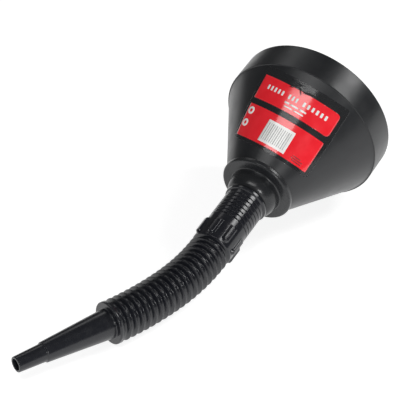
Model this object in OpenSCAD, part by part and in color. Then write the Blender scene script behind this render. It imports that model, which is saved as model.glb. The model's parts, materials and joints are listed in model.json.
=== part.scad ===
// Large oil funnel with a bending spout, lying on its side.
//
// Every piece is drawn on the funnel's own axis first: z runs from the mouth
// (z = 0) to the spout, and x is the way the hose bends. lying() then tips
// that axis down on to the table, with the mouth towards +X.

/* [Bowl] */
// Diameter over the mouth
mouth_d = 160; // [156:1:164]
// Depth of the straight band at the mouth
band_depth = 30; // [26:1:34]
// How far the band stands proud of the cone
band_step = 1; // [0.6:0.2:1.6]
// Distance from the mouth to the flange
cone_end = 112.8; // [108:0.2:118]
// Diameter of the cone where it meets the flange
cone_end_d = 68; // [67:0.5:69]
// Wall of the bowl, square to the surface
bowl_wall = 1.8; // [1.6:0.1:1.9]

/* [Flange and neck] */
// Diameter of the round flange
flange_d = 71.6; // [71:0.2:74]
// Thickness of the flange
flange_t = 5; // [4.6:0.2:6]
// Diameter of the domed shoulder at the flange
shoulder_d = 50; // [48:1:56]
// Length of the domed shoulder
shoulder_length = 17; // [15:0.2:18]
// Outside diameter of the neck that the spout turns on
neck_d = 36.4; // [35.6:0.2:36.6]
// Length of the neck
neck_length = 30; // [26:1:32]

/* [Spout sleeve] */
// Outside diameter of the sleeve
sleeve_d = 39.2; // [39:0.2:40]
// Length of the sleeve
sleeve_length = 67.9; // [67.5:0.1:69]
// Number of ridges on the sleeve
ridge_count = 7; // [5:1:7]
// Spacing of the ridges
ridge_pitch = 4.5; // [4:0.1:4.5]
// Number of grip lugs
lug_count = 8; // [4:1:8]
// Length of a grip lug
lug_length = 19.5; // [15:0.5:19.5]
// Width of a grip lug
lug_width = 7.5; // [6:0.5:8]
// How far a grip lug stands out
lug_height = 2.2; // [1.4:0.2:2.6]

/* [Hose] */
// Diameter over the crests of the hose
crest_d = 39.2; // [38:0.2:40]
// Diameter outside the valleys of the hose
valley_d = 32.8; // [32:0.2:33.4]
// Spacing of the crests
crest_pitch = 6.65; // [6.6:0.05:7]
// Bend at each crest of the upper half as it lies
bend_upper = 1.7; // [0:0.1:3]
// Bend at each crest of the lower half as it lies
bend_lower = 1; // [0:0.1:3]
// Wall of the hose
hose_wall = 1; // [0.8:0.1:1.2]

/* [Nozzle] */
// Diameter of the nozzle at the hose
nozzle_base_d = 27.4; // [26:0.2:29]
// Diameter of the nozzle above its step
nozzle_waist_d = 18.4; // [17.6:0.2:19.4]
// Length of the nozzle from the hose to its step
nozzle_length = 66.2; // [60:0.2:70]
// Diameter of the tip below the step
tip_base_d = 16.4; // [16:0.2:17.2]
// Diameter of the tip at its open end
tip_end_d = 14.2; // [13.6:0.2:14.8]
// Length of the tip
tip_length = 26.6; // [24:0.2:32]
// Diameter of the hole through the tip
tip_bore_d = 10.4; // [9.6:0.2:10.8]

/* [Label] */
// Width of the printed panels along the cone
label_width = 85.5; // [80:0.5:90]
// Height of the upper panel
upper_height = 24; // [20:1:26]
// Height of the lower panel
lower_height = 32; // [28:1:34]
// Gap between the two panels
panel_gap = 6; // [4:1:8]
// Turn of the label round the cone, from the way the hose bends
label_turn = -70; // [-90:1:-50]

/* [Lie] */
// Slope of the axis down to the spout
axis_slope = 14.7; // [14.6:0.1:15]
// Turn of the hose's bend about the axis, from straight up
bend_turn = 57; // [56:1:58]

/* [Hidden] */
ring_count = 18;
hinge_count = ring_count + 1;
upper_count = 9;               // hinges of the upper half

$fn = 96;
bite = 0.4;                    // how far joined shapes run into each other
turn_gap = 0.05;               // running clearance of the sleeve on the neck
end_gap = 0.3;                 // gap between the shoulder and the sleeve

bowl_black = [0.09, 0.09, 0.10];
spout_black = [0.05, 0.05, 0.06];
print_red = [0.88, 0.07, 0.13];
print_white = [0.92, 0.92, 0.90];
clear_film = [0.8, 0.82, 0.84, 0.3];
gauze_grey = [0.45, 0.45, 0.43];

// Bowl
mouth_r = mouth_d / 2;
cone_top_r = mouth_r - band_step;
cone_end_r = cone_end_d / 2;
cone_tan = (cone_top_r - cone_end_r) / (cone_end - band_depth);
cone_angle = atan(cone_tan);
cone_wall_r = bowl_wall / cos(cone_angle);    // the wall, measured along a radius
edge_round = 0.6;
flange_r = flange_d / 2;
flange_end = cone_end + flange_t;
flange_round = 2;
seat_r = cone_end_r - cone_wall_r;
seat_z = flange_end - bowl_wall;
shoulder_r = shoulder_d / 2;
shoulder_end = flange_end + shoulder_length;
neck_r = neck_d / 2;
neck_wall = 2;
neck_end = shoulder_end + neck_length;

// Strainer
frame_r = seat_r - 0.3;
frame_wall = 1.3;
frame_height = 7;
frame_ledge = 1.6;
frame_floor = 1.2;
frame_z = seat_z - 0.1;        // spout side of the frame
gauze_r = frame_r - frame_wall;
gauze_t = 0.6;
gauze_wire = 0.8;
gauze_pitch = 3.6;
spoke_width = 2;
spoke_height = 2.4;
hub_r = 4;
pull_r = 2;
pull_height = 14;

// Sleeve
sleeve_r = sleeve_d / 2;
sleeve_start = shoulder_end + end_gap;
sleeve_bore_r = neck_r + turn_gap;
sleeve_inner_r = sleeve_bore_r - 1;
lip_height = 4.2;
lip_proud = 1.5;
ridge_start = sleeve_start + lip_height + 2.1;
groove_width = 1.3;
groove_depth = 0.9;
lug_start = ridge_start + ridge_count * ridge_pitch + 6;
lug_turn = 10;                 // of the lugs, from halfway between even steps
cuff_length = 3;               // the taper from the sleeve to the first valley

// Hose
crest_r = crest_d / 2;
valley_r = valley_d / 2;
crest_flat = 0.7;              // half width of a crest
ring_half = 2.4;               // half length of one hose ring
hinge_half = crest_pitch / 2;
hose_start = sleeve_start + sleeve_length + hinge_half - ring_half;

// Nozzle
disc_z = 2.6;                  // from the last hinge to the end disc
disc_t = 4.4;
disc_round = 1;
nozzle_wall = 1.6;
nozzle_base_r = nozzle_base_d / 2;
nozzle_waist_r = nozzle_waist_d / 2;
tip_base_r = tip_base_d / 2;
tip_end_r = tip_end_d / 2;
tip_bore_r = tip_bore_d / 2;
nozzle_z = disc_z + disc_t;
waist_z = nozzle_z + nozzle_length;
tip_z = waist_z + tip_length;

// Label
print_t = 0.15;
label_centre_slant = 116.7;    // from the cone's point to the label's middle
label_tilt = -3.7;
film_margin = 3;
corner_r = 4;
code_width = 29.7;
code_height = 22.4;
code_x = -1;
panels_height = upper_height + panel_gap + lower_height;
upper_y = panels_height / 2 - upper_height / 2;
lower_y = lower_height / 2 - panels_height / 2;
code_y = lower_y - 1.3;

// Where the hose's hinges lie, and how far the hose has turned after each of them.
function hinge_turn(k) = min(k, upper_count) * bend_upper + max(0, k - upper_count) * bend_lower;
function ring_name(i) = str("hose_ring_", i < 10 ? "0" : "", i);
function hinge_x(k) = k == 0 ? 0 : hinge_x(k - 1) + crest_pitch * sin(hinge_turn(k));
function hinge_z(k) = k == 0 ? hose_start : hinge_z(k - 1) + crest_pitch * cos(hinge_turn(k));

// How the funnel lies: the band's lower edge is at z = 0, and the mouth and the
// tip reach equally far from x = 0.
axis_down = sin(axis_slope);
axis_level = cos(axis_slope);
nozzle_bend = hinge_turn(hinge_count);
tip_x = hinge_x(ring_count) + tip_z * sin(nozzle_bend);
tip_along = hinge_z(ring_count) + tip_z * cos(nozzle_bend);
tip_dir_x = -cos(nozzle_bend) * axis_level - sin(nozzle_bend) * cos(bend_turn) * axis_down;
tip_reach = tip_along * axis_level + tip_x * cos(bend_turn) * axis_down
    + tip_end_r * sqrt(1 - tip_dir_x * tip_dir_x);
mouth_x = (tip_reach - mouth_r * axis_down) / 2;
mouth_z = band_depth * axis_down + mouth_r * axis_level;

module lying() {
    translate([mouth_x, 0, mouth_z])
        rotate([0, -90 - axis_slope, 0])
            rotate([0, 0, bend_turn])
                children();
}

// Points along an arc, for outlines in the radius and z plane.
function arc(cx, cz, r, from, to, steps = 8) =
    [for (i = [0 : steps]) let (a = from + (to - from) * i / steps) [cx + r * cos(a), cz + r * sin(a)]];

// An elliptical quarter from the flange (steep) to the neck (level).
function dome(r0, r1, z0, z1, steps = 12) =
    [for (i = [0 : steps]) let (a = 90 * i / steps) [r1 + (r0 - r1) * cos(a), z0 + (z1 - z0) * sin(a)]];

function cone_r(z) = cone_top_r - (z - band_depth) * cone_tan;

module bowl_shell() {
    outside = concat(
        arc(mouth_r - edge_round, edge_round, edge_round, -90, 0, 4),
        arc(mouth_r - edge_round, band_depth - edge_round, edge_round, 0, 90, 4),
        [[cone_top_r, band_depth], [cone_end_r, cone_end]],
        arc(flange_r - flange_round, cone_end + flange_round, flange_round, -90, 0),
        arc(flange_r - flange_round, flange_end - flange_round, flange_round, 0, 90),
        dome(shoulder_r, neck_r, flange_end, shoulder_end),
        [[neck_r, neck_end - 1], [neck_r - 0.8, neck_end]]);
    rotate_extrude() polygon(concat(outside, bowl_inside()));
}

// The inside outline, from the neck's end back to the mouth.
function bowl_inside() =
    let (d = dome(shoulder_r - bowl_wall, neck_r - neck_wall, seat_z, shoulder_end - neck_wall))
    concat(
        [[neck_r - neck_wall, neck_end]],
        [for (i = [len(d) - 1 : -1 : 0]) d[i]],
        [[seat_r, seat_z], [seat_r, cone_end],
         [cone_r(band_depth + bowl_wall) - cone_wall_r, band_depth + bowl_wall],
         [mouth_r - bowl_wall, band_depth - bowl_wall],
         [mouth_r - bowl_wall, 0]]);

module bowl() {
    color(bowl_black) lying() bowl_shell();
}

module strainer_frame() {
    color(bowl_black) lying() translate([0, 0, frame_z]) mirror([0, 0, 1]) {
        rotate_extrude() polygon([
            [frame_r - frame_wall - frame_ledge, 0], [frame_r - 0.6, 0], [frame_r, 0.6],
            [frame_r, frame_height], [frame_r - frame_wall, frame_height],
            [frame_r - frame_wall, frame_floor], [frame_r - frame_wall - frame_ledge, frame_floor]]);
        translate([0, 0, frame_floor + gauze_t])
            for (turn = [0, 90])
                rotate([0, 0, turn + 45])
                    translate([-frame_r + bite, -spoke_width / 2, 0])
                        cube([2 * (frame_r - bite), spoke_width, spoke_height]);
        translate([0, 0, frame_floor + gauze_t]) cylinder(r = hub_r, h = spoke_height);
        translate([0, 0, frame_floor + gauze_t + bite]) cylinder(r = pull_r, h = pull_height);
    }
}

module strainer_gauze() {
    wires = floor(gauze_r / gauze_pitch);
    color(gauze_grey) lying() translate([0, 0, frame_z - frame_floor - gauze_t])
        union() {
            intersection() {
                cylinder(r = gauze_r, h = gauze_t);
                for (turn = [0, 90])
                    rotate([0, 0, turn])
                        for (i = [-wires : wires])
                            translate([-gauze_r, i * gauze_pitch - gauze_wire / 2, 0])
                                cube([2 * gauze_r, gauze_wire, gauze_t]);
            }
            difference() {
                cylinder(r = gauze_r, h = gauze_t);
                cylinder(r = gauze_r - frame_ledge, h = 3 * gauze_t, center = true);
            }
        }
}

module sleeve_body() {
    grooves = [for (i = [0 : ridge_count - 1]) ridge_start + (i + 0.5) * ridge_pitch];
    sleeve_end = sleeve_start + sleeve_length;
    outside = concat(
        [[sleeve_r + lip_proud - 0.4, sleeve_start], [sleeve_r + lip_proud, sleeve_start + 0.4],
         [sleeve_r + lip_proud, sleeve_start + lip_height - 0.4],
         [sleeve_r, sleeve_start + lip_height]],
        [for (z = grooves, p = [[0, -0.5], [1, -0.2], [1, 0.2], [0, 0.5]])
            [sleeve_r - p[0] * groove_depth, z + p[1] * groove_width]],
        [[sleeve_r, sleeve_end - cuff_length], [valley_r, sleeve_end]]);
    inside = [
        [valley_r - hose_wall, sleeve_end],
        [sleeve_inner_r, sleeve_end - cuff_length - hose_wall],
        [sleeve_inner_r, neck_end + end_gap],
        [sleeve_bore_r, neck_end + end_gap],
        [sleeve_bore_r, sleeve_start]];
    rotate_extrude() polygon(concat(outside, inside));
}

// One grip lug: square at the mouth end, rounded at the spout end.
module grip_lug() {
    translate([sleeve_r - bite, 0, lug_start]) rotate([0, 90, 0]) linear_extrude(lug_height + bite + 1) {
        translate([-lug_length + lug_width / 2, -lug_width / 2])
            square([lug_length - lug_width / 2, lug_width]);
        translate([-lug_length + lug_width / 2, 0]) circle(d = lug_width);
    }
}

module spout_sleeve() {
    color(spout_black) lying() {
        sleeve_body();
        intersection() {
            cylinder(r = sleeve_r + lug_height, h = sleeve_start + sleeve_length);
            for (i = [0 : lug_count - 1])
                rotate([0, 0, (i + 0.5) * 360 / lug_count + lug_turn])
                    grip_lug();
        }
    }
}

// One crest of the hose, from valley to valley, centred between two hinges.
module hose_ring(i) {
    color(spout_black) lying()
        translate([hinge_x(i - 1), 0, hinge_z(i - 1)])
            rotate([0, hinge_turn(i), 0])
                translate([0, 0, hinge_half])
                    rotate_extrude() polygon([
                        [valley_r, -ring_half], [crest_r, -crest_flat], [crest_r, crest_flat],
                        [valley_r, ring_half], [valley_r - hose_wall, ring_half],
                        [crest_r - hose_wall, crest_flat - 0.4],
                        [crest_r - hose_wall, 0.4 - crest_flat],
                        [valley_r - hose_wall, -ring_half]]);
}

module nozzle() {
    color(spout_black) lying()
        translate([hinge_x(ring_count), 0, hinge_z(ring_count)])
            rotate([0, nozzle_bend, 0])
                rotate_extrude() polygon(concat(
                    [[valley_r, hinge_half - ring_half]],
                    arc(crest_r - disc_round, disc_z + disc_round, disc_round, -90, 0, 4),
                    arc(crest_r - disc_round, disc_z + disc_t - disc_round, disc_round, 0, 90, 4),
                    [[nozzle_base_r, nozzle_z], [nozzle_waist_r, waist_z - 0.6],
                     [nozzle_waist_r - 0.6, waist_z], [tip_base_r, waist_z],
                     [tip_end_r, tip_z - 0.4], [tip_end_r - 0.4, tip_z],
                     [tip_bore_r, tip_z], [tip_bore_r, waist_z - nozzle_wall],
                     [nozzle_waist_r - nozzle_wall, waist_z - nozzle_wall],
                     [nozzle_base_r - nozzle_wall, nozzle_z],
                     [nozzle_base_r - nozzle_wall, nozzle_z - nozzle_wall + 0.4],
                     [valley_r - hose_wall, hinge_half - ring_half + hose_wall],
                     [valley_r - hose_wall, hinge_half - ring_half]]));
}

// The label is a flat rectangle wrapped on the cone. A point of it, x along the
// width and y up towards the mouth, is rolled on to the cone and then seen
// square to the cone's wall at the label's middle.
slant_sin = sin(cone_angle);
slant_cos = cos(cone_angle);
label_r = label_centre_slant * slant_sin;
cone_point = band_depth + cone_top_r / cone_tan;
label_z = cone_point - label_centre_slant * slant_cos;

function rolled(p) =
    let (x = p[0] * cos(label_tilt) + p[1] * sin(label_tilt),
         y = p[1] * cos(label_tilt) - p[0] * sin(label_tilt) + label_centre_slant,
         slant = norm([x, y]), turn = atan2(x, y) / slant_sin,
         r = slant * slant_sin, z = cone_point - slant * slant_cos)
    [r * sin(turn), (r * cos(turn) - label_r) * slant_sin - (z - label_z) * slant_cos];

// Points round a rectangle with rounded corners, several to a side.
function panel_outline(cx, cy, w, h, r, steps = 8) =
    let (dx = w / 2 - r, dy = h / 2 - r)
    concat(
        [for (a = [0 : 30 : 90]) [cx + dx + r * cos(a), cy + dy + r * sin(a)]],
        [for (i = [1 : steps - 1]) [cx + dx - 2 * dx * i / steps, cy + h / 2]],
        [for (a = [90 : 30 : 180]) [cx - dx + r * cos(a), cy + dy + r * sin(a)]],
        [for (a = [180 : 30 : 270]) [cx - dx + r * cos(a), cy - dy + r * sin(a)]],
        [for (i = [1 : steps - 1]) [cx - dx + 2 * dx * i / steps, cy - h / 2]],
        [for (a = [270 : 30 : 360]) [cx + dx + r * cos(a), cy - dy + r * sin(a)]]);

// A thin layer on the cone, cut to an outline. level is its height off the wall.
module cone_layer(outline, level) {
    near = level / slant_cos;
    far = (level + print_t) / slant_cos;
    z0 = band_depth + 1;
    z1 = cone_end - 1;
    intersection() {
        rotate_extrude() polygon([
            [cone_r(z0) + near, z0], [cone_r(z1) + near, z1],
            [cone_r(z1) + far, z1], [cone_r(z0) + far, z0]]);
        rotate([0, 0, label_turn])
            translate([label_r, 0, label_z])
                rotate([0, 90 - cone_angle, 0])
                    translate([0, 0, -label_r])
                        linear_extrude(label_r + 20)
                            polygon([for (p = outline) let (q = rolled(p)) [-q[1], q[0]]]);
    }
}

module label_film() {
    color(clear_film) lying()
        cone_layer(panel_outline(0, 0, label_width + 2 * film_margin,
            panels_height + 2 * film_margin, corner_r), 0);
}

module label_upper_panel() {
    color(print_red) lying()
        cone_layer(panel_outline(0, upper_y, label_width, upper_height, corner_r), print_t);
}

module label_lower_panel() {
    color(print_red) lying()
        cone_layer(panel_outline(0, lower_y, label_width, lower_height, corner_r), print_t);
}

module label_code_panel() {
    color(print_white) lying()
        cone_layer(panel_outline(code_x, code_y, code_width, code_height, 0.5), 2 * print_t);
}

bowl();
strainer_frame();
strainer_gauze();
label_film();
label_upper_panel();
label_lower_panel();
label_code_panel();
spout_sleeve();
for (i = [1 : ring_count])
    hose_ring(i);
nozzle();
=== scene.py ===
"""The looks of a large black oil funnel with a bending spout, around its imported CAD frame.

Sizes are in millimetres on the funnel's own axis: z runs from the mouth to the spout,
x is the way the hose bends. MM turns them into the frame's metres.
"""

import json
import math

import bmesh
import bpy
import numpy as np
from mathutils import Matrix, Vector


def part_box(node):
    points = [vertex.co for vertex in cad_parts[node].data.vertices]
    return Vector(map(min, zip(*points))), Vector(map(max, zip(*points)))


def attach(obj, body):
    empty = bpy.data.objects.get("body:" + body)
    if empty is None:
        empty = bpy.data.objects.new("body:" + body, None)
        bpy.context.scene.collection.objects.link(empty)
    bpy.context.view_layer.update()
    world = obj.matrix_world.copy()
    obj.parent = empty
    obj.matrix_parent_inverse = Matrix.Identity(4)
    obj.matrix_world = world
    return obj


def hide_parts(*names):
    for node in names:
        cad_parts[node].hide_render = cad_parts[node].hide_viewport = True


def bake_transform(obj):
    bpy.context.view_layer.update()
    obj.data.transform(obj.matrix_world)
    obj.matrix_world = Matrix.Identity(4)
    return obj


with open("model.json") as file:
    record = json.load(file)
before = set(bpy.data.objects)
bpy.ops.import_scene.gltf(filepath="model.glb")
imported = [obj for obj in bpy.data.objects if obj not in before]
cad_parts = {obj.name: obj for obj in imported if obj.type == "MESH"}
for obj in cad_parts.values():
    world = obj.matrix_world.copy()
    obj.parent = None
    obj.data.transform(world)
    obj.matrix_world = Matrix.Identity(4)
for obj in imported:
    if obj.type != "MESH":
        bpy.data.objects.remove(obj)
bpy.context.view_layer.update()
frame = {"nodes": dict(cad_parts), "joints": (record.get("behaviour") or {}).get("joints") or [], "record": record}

MM = 0.001
joints = {j["name"]: j for j in frame["joints"]}
mounts = {m["name"]: m for m in frame["record"]["mounts"]}


# ---------------------------------------------------------------- the funnel's axis

def unit(v):
    return np.array(v, float) / np.linalg.norm(v)


axis = unit(joints["spout_turn"]["axis"])
hinge_axis = unit(joints["hose_bend_01"]["axis"])
bend_way = np.cross(hinge_axis, axis)
on_axis = np.array(joints["spout_turn"]["pos_m"])
mouth_point = np.array(mounts["mouth_rim"]["pos_m"])
mouth_centre = on_axis + axis * ((mouth_point - on_axis) @ axis)
turn_to_world = np.column_stack([bend_way, hinge_axis, axis])

bend_names = sorted(n for n in joints if n.startswith("hose_bend_"))
hinge_points = [np.array(joints[n]["pos_m"]) for n in bend_names]
crest_pitch = np.linalg.norm(hinge_points[1] - hinge_points[0]) / MM
links = [unit(b - a) for a, b in zip(hinge_points, hinge_points[1:])]
links.append(unit(mounts["nozzle_bore"]["axis"]))
turned = [0.0] + [math.acos(max(-1.0, min(1.0, way @ axis))) for way in links]


def along_axis(point):
    """A frame point's distance from the mouth, in millimetres."""
    return (np.array(point) - mouth_centre) @ axis / MM


def to_world(points):
    """Points on the funnel's axis, in millimetres, as frame points."""
    return np.asarray(points, float) @ turn_to_world.T * MM + mouth_centre


def turned_about_hinge(points, angle):
    """Rows of points turned about the hinge direction (+ bends further), by one angle
    or by one for each row."""
    c, s = np.cos(angle), np.sin(angle)
    x, y, z = points[:, 0], points[:, 1], points[:, 2]
    return np.column_stack([x * c + z * s, y, z * c - x * s])


def to_axis(point):
    return (np.array(point) - mouth_centre) @ turn_to_world / MM


# ---------------------------------------------------------------- driving sizes

mouth_r = (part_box("bowl")[1].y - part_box("bowl")[0].y) / 2 / MM
band_depth = 30
band_step = 1
cone_end = 112.8
cone_end_r = 34
bowl_wall = 1.8
flange_r = 35.8
flange_end = along_axis(mounts["flange_face"]["pos_m"])
shoulder_r = 25
shoulder_end = flange_end + 17
neck_r = 18.2
neck_wall = 2
neck_end = shoulder_end + 30

sleeve_r = 19.6
sleeve_start = shoulder_end + 0.3
sleeve_bore_r = neck_r + 0.05
sleeve_inner_r = sleeve_bore_r - 1
crest_r = 19.6
valley_r = 16.4
hose_wall = 1
ring_half = 2.4
hose_start = to_axis(hinge_points[0])[2]
sleeve_end = hose_start - crest_pitch / 2 + ring_half

disc_face = 7
nozzle_base_r = 13.7
nozzle_waist_r = 9.2
nozzle_waist = disc_face + 66.2
tip_base_r = 8.2
tip_end_r = 7.1
tip_end = nozzle_waist + 26.6
tip_bore_r = mounts["nozzle_bore"]["dims"]["r_mm"]

cone_top_r = mouth_r - band_step
cone_tan = (cone_top_r - cone_end_r) / (cone_end - band_depth)
cone_angle = math.atan(cone_tan)
cone_point = band_depth + cone_top_r / cone_tan
cone_wall_r = bowl_wall / math.cos(cone_angle)


# ---------------------------------------------------------------- mesh tools

def rounded(points, steps=5):
    """A closed outline from (r, z, radius) corners, with each corner rounded and
    a supporting point on each side of it, so that flat walls shade flat."""
    out = []
    n = len(points)
    for i, (r, z, radius) in enumerate(points):
        here = np.array([r, z], float)
        if radius <= 0:
            out.append(here)
            continue
        before = np.array(points[i - 1][:2], float) - here
        after = np.array(points[(i + 1) % n][:2], float) - here
        la, lb = np.linalg.norm(before), np.linalg.norm(after)
        a, b = before / la, after / lb
        half = math.acos(max(-1.0, min(1.0, a @ b))) / 2
        cut = min(radius / math.tan(half), la * 0.45, lb * 0.45)
        radius = cut * math.tan(half)
        centre = here + (a + b) / np.linalg.norm(a + b) * radius / math.sin(half)
        start, end = here + a * cut - centre, here + b * cut - centre
        sweep = math.atan2(start[0] * end[1] - start[1] * end[0], start @ end)
        hold = min(0.5, cut)
        if la - cut > 3 * hold:
            out.append(here + a * (cut + hold))
        for k in range(steps + 1):
            t = sweep * k / steps
            c, s = math.cos(t), math.sin(t)
            out.append(centre + np.array([start[0] * c - start[1] * s, start[0] * s + start[1] * c]))
        if lb - cut > 3 * hold:
            out.append(here + b * (cut + hold))
    return np.array(out)


def new_piece(name, verts, faces, smooth=True):
    """A mesh object from frame points, with its faces turned outwards."""
    mesh = bpy.data.meshes.new(name)
    mesh.from_pydata([tuple(v) for v in verts], [], [tuple(f) for f in faces])
    shape = bmesh.new()
    shape.from_mesh(mesh)
    bmesh.ops.recalc_face_normals(shape, faces=shape.faces)
    shape.to_mesh(mesh)
    shape.free()
    if smooth:
        mesh.polygons.foreach_set("use_smooth", [True] * len(mesh.polygons))
    obj = bpy.data.objects.new(name, mesh)
    bpy.context.scene.collection.objects.link(obj)
    return obj


def circle(radius, z, columns):
    """Points round the axis at z; the radius is one number, or one for each point."""
    angles = np.arange(columns) * 2 * math.pi / columns
    return np.column_stack([radius * np.cos(angles), radius * np.sin(angles), np.full(columns, float(z))])


def ring_faces(rows, columns):
    """Quads of a grid whose columns and rows both close round."""
    faces = []
    for i in range(rows):
        a, b = i * columns, (i + 1) % rows * columns
        for j in range(columns):
            k = (j + 1) % columns
            faces.append((a + j, a + k, b + k, b + j))
    return faces


def lathe(name, outline, place, columns=160, seams=()):
    """A solid of revolution from a closed (r, z) outline. place turns axis points into
    frame points. The flat ends at the z of a seam get sharp edges, so that the crest
    shades evenly on to the next piece."""
    rows = [circle(r, z, columns) for r, z in outline]
    piece = new_piece(name, place(np.vstack(rows)), ring_faces(len(rows), columns))
    for i, (r, z) in enumerate(outline):
        next_z = outline[(i + 1) % len(outline)][1]
        if any(abs(z - seam) < 0.001 and abs(next_z - seam) < 0.001 for seam in seams):
            for face in piece.data.polygons[i * columns:(i + 1) * columns]:
                face.use_smooth = False
    return piece


def quarter(r0, r1, z0, z1, steps=14):
    """An elliptical quarter, level with z at r0 and with r at r1, as sharp corners."""
    turn = [math.pi / 2 * i / steps for i in range(steps + 1)]
    return [(r1 + (r0 - r1) * math.cos(a), z0 + (z1 - z0) * math.sin(a), 0) for a in turn]


def smooth_step(t):
    t = np.clip(t, 0, 1)
    return t * t * (3 - 2 * t)


# ---------------------------------------------------------------- materials

def material(name, colour, roughness, **sockets):
    """A Principled material; sockets are set by their names on the shader."""
    mat = bpy.data.materials.new(name)
    mat.use_nodes = True
    shader = mat.node_tree.nodes["Principled BSDF"]
    shader.inputs["Base Color"].default_value = (*colour, 1)
    shader.inputs["Roughness"].default_value = roughness
    for key, value in sockets.items():
        shader.inputs[key.replace("_", " ")].default_value = value
    return mat


def node(mat, kind, **values):
    made = mat.node_tree.nodes.new(kind)
    for key, value in values.items():
        if key in made.inputs:
            made.inputs[key].default_value = value
        else:
            setattr(made, key, value)
    return made


def link(mat, a, out, b, into):
    mat.node_tree.links.new(a.outputs[out], b.inputs[into])


def noise(mat, scale, detail=3.0, stretch=(1, 1, 1)):
    """Noise in the object's own coordinates."""
    where = node(mat, "ShaderNodeTexCoord")
    turn = node(mat, "ShaderNodeMapping")
    turn.inputs["Scale"].default_value = stretch
    speck = node(mat, "ShaderNodeTexNoise")
    speck.inputs["Scale"].default_value = scale
    speck.inputs["Detail"].default_value = detail
    link(mat, where, "Object", turn, "Vector")
    link(mat, turn, "Vector", speck, "Vector")
    return speck


def vary(mat, source, socket, low, high, start=0.3, end=0.7):
    """Drives a number of the shader between low and high by a texture's value."""
    spread = node(mat, "ShaderNodeMapRange")
    spread.inputs["From Min"].default_value = start
    spread.inputs["From Max"].default_value = end
    spread.inputs["To Min"].default_value = low
    spread.inputs["To Max"].default_value = high
    link(mat, source, "Fac", spread, "Value")
    link(mat, spread, "Result", mat.node_tree.nodes["Principled BSDF"], socket)


def vary_colour(mat, source, dark, light, start=0.3, end=0.7):
    ramp = node(mat, "ShaderNodeValToRGB")
    ramp.color_ramp.elements[0].position = start
    ramp.color_ramp.elements[0].color = (*dark, 1)
    ramp.color_ramp.elements[1].position = end
    ramp.color_ramp.elements[1].color = (*light, 1)
    link(mat, source, "Fac", ramp, "Fac")
    link(mat, ramp, "Color", mat.node_tree.nodes["Principled BSDF"], "Base Color")


def polish(mat, start, share):
    """Scales the roughness down beyond a distance from the mouth."""
    shader = mat.node_tree.nodes["Principled BSDF"]
    driven = shader.inputs["Roughness"].links[0].from_node
    where = node(mat, "ShaderNodeTexCoord")
    along = node(mat, "ShaderNodeVectorMath", operation="DOT_PRODUCT")
    along.inputs[1].default_value = tuple(axis)
    level = mouth_centre @ axis + start * MM
    spread = node(mat, "ShaderNodeMapRange")
    spread.inputs["From Min"].default_value = level - 0.002
    spread.inputs["From Max"].default_value = level + 0.001
    spread.inputs["To Min"].default_value = 1
    spread.inputs["To Max"].default_value = share
    product = node(mat, "ShaderNodeMath", operation="MULTIPLY")
    link(mat, where, "Object", along, 0)
    link(mat, along, "Value", spread, "Value")
    link(mat, driven, "Result", product, 0)
    link(mat, spread, "Result", product, 1)
    link(mat, product, "Value", shader, "Roughness")


def bumps(mat, *layers):
    """Stacks (texture, strength, distance in metres) bumps under the shader's normal."""
    below = None
    for source, strength, distance in layers:
        bump = node(mat, "ShaderNodeBump")
        bump.inputs["Strength"].default_value = strength
        bump.inputs["Distance"].default_value = distance
        link(mat, source, "Fac", bump, "Height")
        if below is not None:
            link(mat, below, "Normal", bump, "Normal")
        below = bump
    link(mat, below, "Normal", mat.node_tree.nodes["Principled BSDF"], "Normal")


def bowl_plastic():
    """Satin polyethylene: fine moulded grain, and soft waves from cooling."""
    mat = material("bowl_plastic", (0.018, 0.019, 0.021), 0.33, Specular_IOR_Level=0.45)
    waves, grain, cloud = noise(mat, 22, 1.0), noise(mat, 2200, 2.0), noise(mat, 60, 4.0)
    vary(mat, cloud, "Roughness", 0.29, 0.38)
    polish(mat, cone_end, 0.8)
    vary_colour(mat, cloud, (0.015, 0.016, 0.018), (0.021, 0.022, 0.024))
    bumps(mat, (waves, 0.25, 0.0012), (grain, 0.08, 0.00006))
    return mat


def spout_plastic(name, smooth, dull):
    """Blow-moulded polyethylene, glossier than the bowl and a faintly bluish black."""
    mat = material(name, (0.010, 0.011, 0.015), smooth, Specular_IOR_Level=0.55)
    waves, grain, cloud = noise(mat, 70, 1.0), noise(mat, 1800, 2.0), noise(mat, 120, 4.0)
    vary(mat, cloud, "Roughness", smooth, dull)
    vary_colour(mat, cloud, (0.008, 0.009, 0.013), (0.013, 0.014, 0.018))
    bumps(mat, (waves, 0.1, 0.0004), (grain, 0.03, 0.00004))
    return mat


def strainer_plastic():
    mat = material("strainer_plastic", (0.02, 0.02, 0.021), 0.45)
    grain, cloud = noise(mat, 1600, 2.0), noise(mat, 150, 3.0)
    vary(mat, cloud, "Roughness", 0.38, 0.52)
    bumps(mat, (grain, 0.25, 0.00006))
    return mat


def gauze_wire():
    mat = material("gauze_wire", (0.55, 0.55, 0.53), 0.32, Metallic=1.0)
    cloud = noise(mat, 900, 3.0)
    vary(mat, cloud, "Roughness", 0.25, 0.45)
    vary_colour(mat, cloud, (0.45, 0.45, 0.43), (0.64, 0.63, 0.60))
    return mat


def printed_film(name, dark, light, roughness=0.16):
    """Ink on glossy film: slightly uneven ink, fine ripples in the film."""
    mat = material(name, light, roughness, Specular_IOR_Level=0.55, Coat_Weight=0.6, Coat_Roughness=0.08)
    cloud, ripple = noise(mat, 90, 4.0), noise(mat, 260, 2.0)
    vary_colour(mat, cloud, dark, light)
    vary(mat, cloud, "Roughness", roughness * 0.8, roughness * 1.3)
    bumps(mat, (ripple, 0.25, 0.0001))
    return mat


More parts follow.
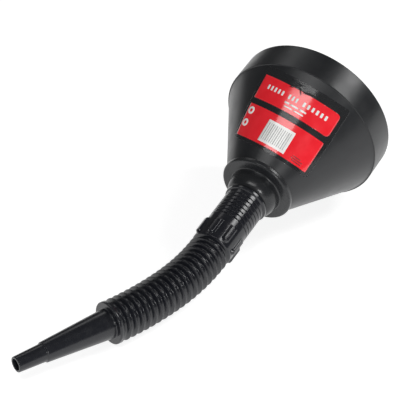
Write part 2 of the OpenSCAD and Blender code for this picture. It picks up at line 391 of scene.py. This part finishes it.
def clear_film():
    mat = material("clear_film", (0.025, 0.026, 0.028), 0.14, Specular_IOR_Level=0.5)
    mat.node_tree.nodes["Principled BSDF"].inputs["Alpha"].default_value = 0.75
    ripple, cloud = noise(mat, 110, 0.0), noise(mat, 80, 3.0)
    vary(mat, cloud, "Roughness", 0.14, 0.22)
    bumps(mat, (ripple, 0.15, 0.0001))
    return mat


mat_bowl = bowl_plastic()
mat_spout = spout_plastic("spout_plastic", 0.15, 0.22)
mat_hose = spout_plastic("hose_plastic", 0.20, 0.29)
mat_nozzle = spout_plastic("nozzle_plastic", 0.20, 0.30)
mat_strainer = strainer_plastic()
mat_gauze = gauze_wire()
mat_red = printed_film("label_red", (0.93, 0.014, 0.026), (0.99, 0.022, 0.036))
mat_white = printed_film("label_white", (0.90, 0.90, 0.88), (0.96, 0.96, 0.94), 0.3)
mat_ink = printed_film("label_ink", (0.05, 0.01, 0.012), (0.09, 0.015, 0.02), 0.3)
mat_stripe = printed_film("label_stripe", (0.42, 0.42, 0.41), (0.52, 0.52, 0.51), 0.35)
mat_film = clear_film()


def finish_piece(obj, mat, body=None, stands_for=()):
    """Gives a piece its material and slot, and lets it ride on a body."""
    obj.data.materials.append(mat)
    if body is not None:
        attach(obj, body)
    if stands_for:
        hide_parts(*stands_for)
    return obj


# ---------------------------------------------------------------- bowl

def cone_r(z):
    return cone_top_r - (z - band_depth) * cone_tan


def make_bowl():
    inner_shoulder = quarter(shoulder_r - bowl_wall, neck_r - neck_wall, flange_end - bowl_wall,
                             shoulder_end - neck_wall)
    seat_r = cone_end_r - cone_wall_r
    outline = rounded(
        [(mouth_r - bowl_wall, 0, 0.4), (mouth_r, 0, 0.9), (mouth_r, band_depth, 0.5),
         (cone_top_r, band_depth, 0.35), (cone_end_r, cone_end, 0.8), (flange_r, cone_end, 1.7),
         (flange_r, flange_end, 1.9), (shoulder_r + 0.4, flange_end, 2.4)]
        + quarter(shoulder_r, neck_r, flange_end + 2.6, shoulder_end)
        + [(neck_r, neck_end, 0.7), (neck_r - neck_wall, neck_end, 0.5)]
        + inner_shoulder[::-1]
        + [(seat_r, flange_end - bowl_wall, 0.4), (seat_r, cone_end, 0.3),
           (cone_r(band_depth + bowl_wall) - cone_wall_r, band_depth + bowl_wall, 0.8),
           (mouth_r - bowl_wall, band_depth - bowl_wall, 0.8)])
    bowl = lathe("bowl_shell", outline, to_world, columns=256)
    finish_piece(bowl, mat_bowl, "bowl", ["bowl"])


# ---------------------------------------------------------------- sleeve

ridge_count, ridge_pitch = 7, 4.5
lip_height, lip_proud = 4.2, 1.5
ridge_start = sleeve_start + lip_height + 2.1
groove_depth, groove_width = 0.9, 1.5
lug_count, lug_length, lug_width, lug_height, lug_edge = 8, 19.5, 7.5, 2.2, 1.6
lug_turn = math.radians(10)
lug_start = ridge_start + ridge_count * ridge_pitch + 6
cuff_length = 3


def sleeve_radius(z):
    """Radius of the sleeve without its lugs."""
    r = np.full_like(z, float(sleeve_r))
    lip = smooth_step((z - sleeve_start) / 0.8) * smooth_step((sleeve_start + lip_height - z) / 1.2)
    r += lip_proud * lip
    for i in range(ridge_count):
        centre = ridge_start + (i + 0.5) * ridge_pitch
        near = np.clip(np.abs(z - centre) / (groove_width / 2), 0, 1)
        r -= groove_depth * (0.5 + 0.5 * np.cos(np.pi * near)) * (near < 1)
    start = sleeve_end - cuff_length
    r += (valley_r - sleeve_r) * smooth_step((z - start) / cuff_length)
    return r


def lug_rise(angle, z):
    """How far the grip lugs stand out at an angle and a distance from the mouth."""
    step = 2 * math.pi / lug_count
    across = (((angle - lug_turn) / step) % 1 - 0.5) * step * sleeve_r
    half = lug_width / 2
    round_start = lug_start + lug_length - half
    end_side = np.hypot(across, np.maximum(z - round_start, 0)) - half
    mouth_side = lug_start - z
    outside = np.maximum(end_side, mouth_side)
    return lug_height * np.clip(-outside / lug_edge, 0, 1)


def make_sleeve():
    columns = 384
    angles = np.arange(columns) * 2 * math.pi / columns
    zs = np.concatenate([
        np.arange(sleeve_start, lug_start - 1, 0.13),
        np.arange(lug_start - 1, sleeve_end, 0.22),
        [sleeve_end]])
    rows = [circle(r + lug_rise(angles, z), z, columns) for z, r in zip(zs, sleeve_radius(zs))]
    inside = [(valley_r - hose_wall, sleeve_end), (valley_r - hose_wall, sleeve_end - 0.3),
              (sleeve_inner_r, sleeve_end - cuff_length - hose_wall),
              (sleeve_inner_r, neck_end + 0.5), (sleeve_bore_r, neck_end + 0.3),
              (sleeve_bore_r, sleeve_start + 0.3), (sleeve_bore_r, sleeve_start)]
    rows += [circle(r, z, columns) for r, z in inside]
    sleeve = new_piece("sleeve_grip", to_world(np.vstack(rows)), ring_faces(len(rows), columns))
    finish_piece(sleeve, mat_spout, "sleeve", ["spout_sleeve"])


# ---------------------------------------------------------------- hose

crest_half = 0.4
crest_round = 0.6
valley_round = 0.9
flank_end = 2.35


def hose_outline():
    """The wall between one crest's middle and the next, z measured from the hinge."""
    half = crest_pitch / 2
    return rounded([
        (crest_r, -half, 0), (crest_r, -half + crest_half, crest_round),
        (valley_r, -half + flank_end, valley_round), (valley_r, half - flank_end, valley_round),
        (crest_r, half - crest_half, crest_round), (crest_r, half, 0),
        (crest_r - hose_wall, half, 0), (crest_r - hose_wall, half - 0.4, 0.3),
        (valley_r - hose_wall, half - flank_end - 0.1, 0.5),
        (valley_r - hose_wall, -half + flank_end + 0.1, 0.5),
        (crest_r - hose_wall, -half + 0.4, 0.3), (crest_r - hose_wall, -half, 0)])


def make_hose():
    """One piece to each hinge, from crest to crest, bent to the hinges' present turns."""
    last = len(hinge_points) - 1
    for number in range(last + 1):
        outline = sleeve_neck_outline() if number == 0 else hose_outline()
        half = crest_pitch / 2

        def place(points, number=number):
            weight = smooth_step((points[:, 2] + half) / (2 * half))
            angle = turned[number] + weight * (turned[number + 1] - turned[number])
            return to_world(turned_about_hinge(points, angle) + to_axis(hinge_points[number]))

        piece = lathe(f"hose_fold_{number + 1:02d}", outline, place, columns=192, seams=(-half, half))
        stands_for = [f"hose_ring_{number + 1:02d}"] if number < last else []
        finish_piece(piece, mat_hose, None, stands_for)
        start = place(np.array([[0, 0, -half]]))[0]
        end = place(np.array([[0, 0, half]]))[0]
        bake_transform(piece)


def sleeve_neck_outline():
    """The first fold starts at the sleeve's cuff instead of at a crest."""
    half = crest_pitch / 2
    start = sleeve_end - hose_start
    return rounded([
        (valley_r, start, 0), (valley_r, half - flank_end, valley_round),
        (crest_r, half - crest_half, crest_round), (crest_r, half, 0),
        (crest_r - hose_wall, half, 0), (crest_r - hose_wall, half - 0.4, 0.3),
        (valley_r - hose_wall, half - flank_end - 0.1, 0.5), (valley_r - hose_wall, start, 0)])


# ---------------------------------------------------------------- nozzle

def make_nozzle():
    last = len(hinge_points) - 1
    half = crest_pitch / 2
    outline = rounded([
        (crest_r, half, 0), (crest_r, disc_face, 0.9), (nozzle_base_r, disc_face, 0.9),
        (nozzle_waist_r, nozzle_waist - 0.5, 0.5), (tip_base_r, nozzle_waist, 0.5),
        (tip_end_r, tip_end, 0.6), (tip_bore_r, tip_end, 0.4), (tip_bore_r, nozzle_waist - 1.6, 0.3),
        (nozzle_waist_r - 1.6, nozzle_waist - 1.6, 0.3), (nozzle_base_r - 1.6, disc_face - 1, 0.5),
        (crest_r - hose_wall, disc_face - 1, 0.3), (crest_r - hose_wall, half, 0)])

    def place(points):
        base = to_axis(hinge_points[last])
        return to_world(turned_about_hinge(points, turned[last + 1]) + base)

    nozzle = lathe("nozzle_body", outline, place, columns=160, seams=(half,))
    finish_piece(nozzle, mat_nozzle, "nozzle", ["nozzle"])


# ---------------------------------------------------------------- strainer

def make_strainer():
    """The frame keeps its CAD shape; the gauze is woven."""
    cad = frame["nodes"]["strainer_frame"]
    cad.data.materials.clear()
    cad.data.materials.append(mat_strainer)
    weave()


gauze_r = 30.1
gauze_z = 114.4
wire_r = 0.16
wire_pitch = 1.5


def weave():
    """Plain-woven wire: each wire passes over and under the ones that cross it."""
    verts, faces = [], []
    sides = 6
    count = int(gauze_r / wire_pitch)
    for way in (0, 1):
        for i in range(-count, count + 1):
            offset = i * wire_pitch
            reach = math.sqrt(max(0, gauze_r ** 2 - offset ** 2))
            steps = max(8, int(reach * 2 / (wire_pitch / 3)))
            base = len(verts)
            for k in range(steps + 1):
                along = -reach + 2 * reach * k / steps
                lift = wire_r * math.cos(math.pi * (along / wire_pitch + i + way))
                for s in range(sides):
                    a = 2 * math.pi * s / sides
                    side = offset + wire_r * math.cos(a)
                    height = lift + wire_r * math.sin(a)
                    x, y = (along, side) if way == 0 else (side, along)
                    verts.append((x, y, gauze_z + height))
            for k in range(steps):
                for s in range(sides):
                    n = (s + 1) % sides
                    a, b = base + k * sides, base + (k + 1) * sides
                    faces.append((a + s, a + n, b + n, b + s))
            faces.append(tuple(base + s for s in range(sides))[::-1])
            faces.append(tuple(base + steps * sides + s for s in range(sides)))
    mesh = new_piece("gauze_weave", to_world(verts), faces)
    finish_piece(mesh, mat_gauze, "strainer", ["strainer_gauze"])


# ---------------------------------------------------------------- label

label_slant = 116.7
label_turn = math.radians(-70)
label_tilt = math.radians(-3.7)
label_width = 85.5
upper_height, lower_height, panel_gap = 24, 32, 6
panels_height = upper_height + panel_gap + lower_height
upper_y = panels_height / 2 - upper_height / 2
lower_y = lower_height / 2 - panels_height / 2


def on_cone(x, y, level):
    """A point of the flat label, wrapped on the cone, level millimetres off the wall."""
    px = x * math.cos(label_tilt) + y * math.sin(label_tilt)
    py = y * math.cos(label_tilt) - x * math.sin(label_tilt) + label_slant
    slant = np.hypot(px, py)
    turn = np.arctan2(px, py) / math.sin(cone_angle) + label_turn
    r = slant * math.sin(cone_angle) + level * math.cos(cone_angle)
    z = cone_point - slant * math.cos(cone_angle) + level * math.sin(cone_angle)
    return np.stack([r * np.cos(turn), r * np.sin(turn), z], axis=-1)


def patch(name, cx, cy, w, h, level, thick, mat, corners=(0, 0, 0, 0), fine=1.2, wrinkle=None,
          stands_for=()):
    """A thin panel wrapped on the cone. corners are the radii at the top left, top
    right, bottom right and bottom left; x runs to the label's left."""
    tl, tr, br, bl = corners
    rows = max(3, int(h / fine))
    edge = max(corners)
    ys = np.linspace(-h / 2, h / 2, rows + 1)
    if edge:
        arc = edge * (1 - np.cos(np.linspace(0, math.pi / 2, 7)))
        ys = np.unique(np.round(np.concatenate([ys, -h / 2 + arc, h / 2 - arc]), 4))
    columns = max(3, int(w / fine))
    ts = np.linspace(0, 1, columns + 1)

    def inset(y, top, bottom):
        cut = 0.0
        if top > 0 and y > h / 2 - top:
            cut = top - math.sqrt(max(0, top ** 2 - (y - (h / 2 - top)) ** 2))
        if bottom > 0 and y < -h / 2 + bottom:
            cut = bottom - math.sqrt(max(0, bottom ** 2 - (-h / 2 + bottom - y) ** 2))
        return cut

    grid = []
    for y in ys:
        left, right = w / 2 - inset(y, tl, bl), -w / 2 + inset(y, tr, br)
        x = right + (left - right) * ts
        grid.append(np.column_stack([cx + x, np.full_like(x, cy + y)]))
    grid = np.array(grid)
    x, y = grid[..., 0].ravel(), grid[..., 1].ravel()
    rise = wrinkle(x, y) if wrinkle is not None else np.zeros_like(x)
    top = on_cone(x, y, level + thick + rise)
    bottom = on_cone(x, y, level)
    n_rows, n_cols = grid.shape[:2]
    total = n_rows * n_cols
    faces = []
    for i in range(n_rows - 1):
        for j in range(n_cols - 1):
            a = i * n_cols + j
            q = (a, a + 1, a + n_cols + 1, a + n_cols)
            faces.append(q)
            faces.append(tuple(total + v for v in q[::-1]))
    rim = ([j for j in range(n_cols)] + [i * n_cols + n_cols - 1 for i in range(1, n_rows)]
           + [(n_rows - 1) * n_cols + j for j in range(n_cols - 2, -1, -1)]
           + [i * n_cols for i in range(n_rows - 2, 0, -1)])
    for k in range(len(rim)):
        a, b = rim[k], rim[(k + 1) % len(rim)]
        faces.append((b, a, total + a, total + b))
    piece = new_piece(name, to_world(np.vstack([top, bottom])), faces)
    finish_piece(piece, mat, "bowl", stands_for)
    return piece


film_t = 0.15
film_gap = 0.04
print_level = film_gap + film_t + 0.02


def film_wrinkle(x, y):
    """Small creases where the film was smoothed down over the top edge."""
    crease = np.zeros_like(x)
    for cx, cy, turn, long, wide, high in (
            (16, 33.5, 0.5, 7, 0.7, 0.5), (9, 32, -0.5, 6, 0.6, 0.45), (2, 30.5, 0.9, 5, 0.6, 0.4),
            (-5, 31, -0.2, 6, 0.7, 0.35), (12, 36, 0.2, 8, 0.7, 0.4)):
        dx, dy = x - cx, y - cy
        u = dx * math.cos(turn) + dy * math.sin(turn)
        v = dy * math.cos(turn) - dx * math.sin(turn)
        crease += high * np.exp(-(u / long) ** 2 - (v / wide) ** 2)
    return crease


def make_label():
    patch("film", -1, 2.5, label_width + 8, panels_height + 12, film_gap, film_t, mat_film,
          corners=(3, 3, 3, 3), fine=0.6, wrinkle=film_wrinkle, stands_for=["label_film"])
    patch("panel_upper", 0, upper_y, label_width, upper_height, print_level, film_t, mat_red,
          corners=(0, 4, 4, 0), stands_for=["label_upper_panel"])
    patch("panel_lower", 0, lower_y, label_width, lower_height, print_level, film_t, mat_red,
          corners=(0, 1.6, 0.4, 0), stands_for=["label_lower_panel"])
    level = print_level + film_t + 0.01
    patch("panel_code", -1.2, lower_y - 2, 28.6, 22.4, level, 0.05, mat_white,
          corners=(0.4, 0.4, 0.4, 0.4), stands_for=["label_code_panel"])
    make_bars(level)
    make_words(level)
    make_dots(level)


def bar(name, cx, cy, w, h, level, mat, corner=0.3):
    corner = min(corner, w / 2.2, h / 2.2)
    patch(name, cx, cy, w, h, level, 0.04, mat, corners=(corner,) * 4, fine=1.5)


def make_bars(level):
    """Plain grey stripes on the white panel, all alike in pairs, that code nothing."""
    for i in range(12):
        width = 0.55 if i % 2 else 0.9
        bar(f"stripe_{i:02d}", 10.6 - i * 2.1, lower_y - 2.2, width, 17.5, level + 0.06,
            mat_stripe, 0.05)


def make_words(level):
    """Blank blocks where the printed words stand."""
    title = ((34.5, 21, 5), (10, 12, 3), (-5.5, 28.5, 6))
    lines = ((upper_y - 4.0, (5, 8, 7), 1.7), (upper_y - 7.6, (9, 10), 1.2))
    for word, (left, width, count) in enumerate(title):
        step = width / count
        for i in range(count):
            middle = left - (i + 0.5) * step
            bar(f"title_{word}_{i}", middle, upper_y + 2.2, step * 0.5, 4.6, level,
                mat_white, 0.5)
    for row, (y, words, size) in enumerate(lines):
        total = sum(words) + 1.6 * (len(words) - 1)
        x = total / 2 - 2
        for i, w in enumerate(words):
            bar(f"line_{row}_{i}", x - w / 2, y, w, size, level, mat_white, 0.4)
            x -= w + 1.6
    for row, w in enumerate((9, 13, 11)):
        bar(f"small_{row}", -28 - row, -24.5 - row * 2.0, w, 0.7, level, mat_ink, 0.2)


def make_dots(level):
    for i, y in enumerate((lower_y + 9.5, lower_y - 3)):
        bar(f"round_{i}", 37.6, y, 7.4, 7.4, level, mat_white, 3.3)
        bar(f"round_{i}_mark", 37.6, y, 3.4, 3.4, level + 0.05, mat_red, 1.5)


make_bowl()
make_sleeve()
make_hose()
make_nozzle()
make_strainer()
make_label()


# ---------------------------------------------------------------- floor, light, camera

def look_from(azimuth, elevation):
    a, e = math.radians(azimuth), math.radians(elevation)
    return np.array([math.sin(a) * math.cos(e), -math.cos(a) * math.cos(e), math.sin(e)])


def aim(obj, place, target):
    obj.location = Vector(place)
    obj.rotation_mode = "QUATERNION"
    obj.rotation_quaternion = (Vector(target) - Vector(place)).to_track_quat("-Z", "Y")


def make_floor():
    """A pale light table, whose glow keeps the funnel's shadow faint."""
    mat = material("floor_paper", (0.60, 0.60, 0.60), 0.7)
    shader = mat.node_tree.nodes["Principled BSDF"]
    shader.inputs["Emission Color"].default_value = (1, 1, 1, 1)
    shader.inputs["Emission Strength"].default_value = floor_glow
    cloud = noise(mat, 3, 2.0)
    vary(mat, cloud, "Roughness", 0.65, 0.8)
    size = 2.5
    floor = new_piece("floor", [(-size, -size, 0), (size, -size, 0), (size, size, 0), (-size, size, 0)],
                      [(0, 1, 2, 3)], smooth=False)
    floor.location.z = -0.0005
    floor.data.materials.append(mat)


def softbox(name, azimuth, elevation, distance, width, height, radiance, target=(0.08, 0, 0.06)):
    """A rectangular area light of an even radiance, aimed at the target."""
    lamp = bpy.data.lights.new(name, "AREA")
    lamp.shape = "RECTANGLE"
    lamp.size, lamp.size_y = width, height
    lamp.energy = math.pi * radiance * width * height
    obj = bpy.data.objects.new(name, lamp)
    bpy.context.scene.collection.objects.link(obj)
    aim(obj, np.array(target) + look_from(azimuth, elevation) * distance, target)
    return obj


floor_glow = 0.8
sky = 0.10


def make_lights():
    world = bpy.data.worlds.new("studio")
    bpy.context.scene.world = world
    world.use_nodes = True
    world.node_tree.nodes["Background"].inputs["Color"].default_value = (1, 1, 1, 1)
    world.node_tree.nodes["Background"].inputs["Strength"].default_value = sky
    softbox("key", 40, 44, 1.6, 0.45, 0.55, 9)
    softbox("window", 274, 57, 1.7, 0.95, 0.45, 4.5)
    softbox("fill", 316, 22, 2.0, 0.30, 0.30, 42)
    softbox("back", 130, 45, 2.2, 1.0, 0.6, 1.2)


def make_camera():
    data = bpy.data.cameras.new("camera")
    camera = bpy.data.objects.new("camera", data)
    bpy.context.scene.collection.objects.link(camera)
    data.sensor_width = 36
    data.lens = 140
    target = np.array([0.03085, 0.03076, 0.060])
    aim(camera, target + look_from(301.6, 32.2) * 1.427, target)
    data.clip_start, data.clip_end = 0.1, 50
    bpy.context.scene.camera = camera


make_floor()
make_lights()
make_camera()
bpy.context.scene.view_settings.view_transform = "Standard"
